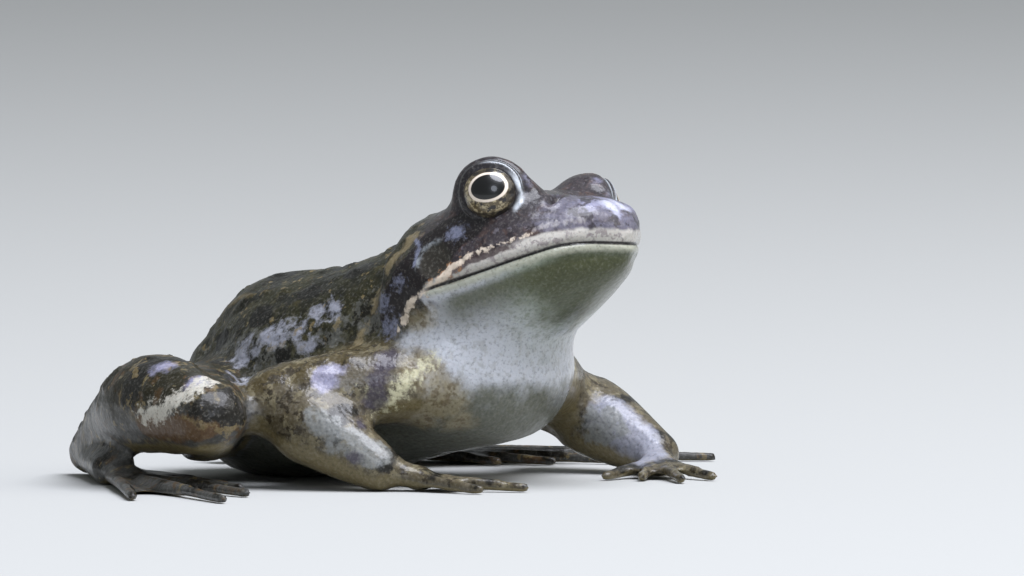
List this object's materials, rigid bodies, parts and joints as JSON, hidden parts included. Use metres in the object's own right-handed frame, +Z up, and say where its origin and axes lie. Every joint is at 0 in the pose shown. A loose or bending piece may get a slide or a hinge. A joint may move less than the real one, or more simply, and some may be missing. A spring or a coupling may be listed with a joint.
{
  "type": "common frog model",
  "caption": "Life-size still model of a seated common frog with head raised, bulging eyes, folded hind legs, webbed hind feet and bent forelegs, resting on hands, feet and belly",
  "frame": {"origin": "centre of the bounding box in plan, on the plane the frog rests on", "axes": "the frog faces -Y, its right side is -X, +Z is up"},
  "size_m": [0.0974, 0.066, 0.0363],
  "materials": {
    "skin": "smooth moist-looking painted skin, olive brown with dark bars above and pale grey below",
    "eye": "polished, golden bronze iris with a black oval pupil"
  },
  "bodies": {
    "root": {"head": "skin", "lower_jaw": "skin", "trunk": "skin", "eye_right": "eye", "eye_left": "eye", "upper_arm_right": "skin", "forearm_right": "skin", "hand_right": "skin", "upper_arm_left": "skin", "forearm_left": "skin", "hand_left": "skin", "thigh_right": "skin", "shank_right": "skin", "tarsus_right": "skin", "foot_right": "skin", "thigh_left": "skin", "shank_left": "skin", "tarsus_left": "skin", "foot_left": "skin"}
  },
  "joints": []
}
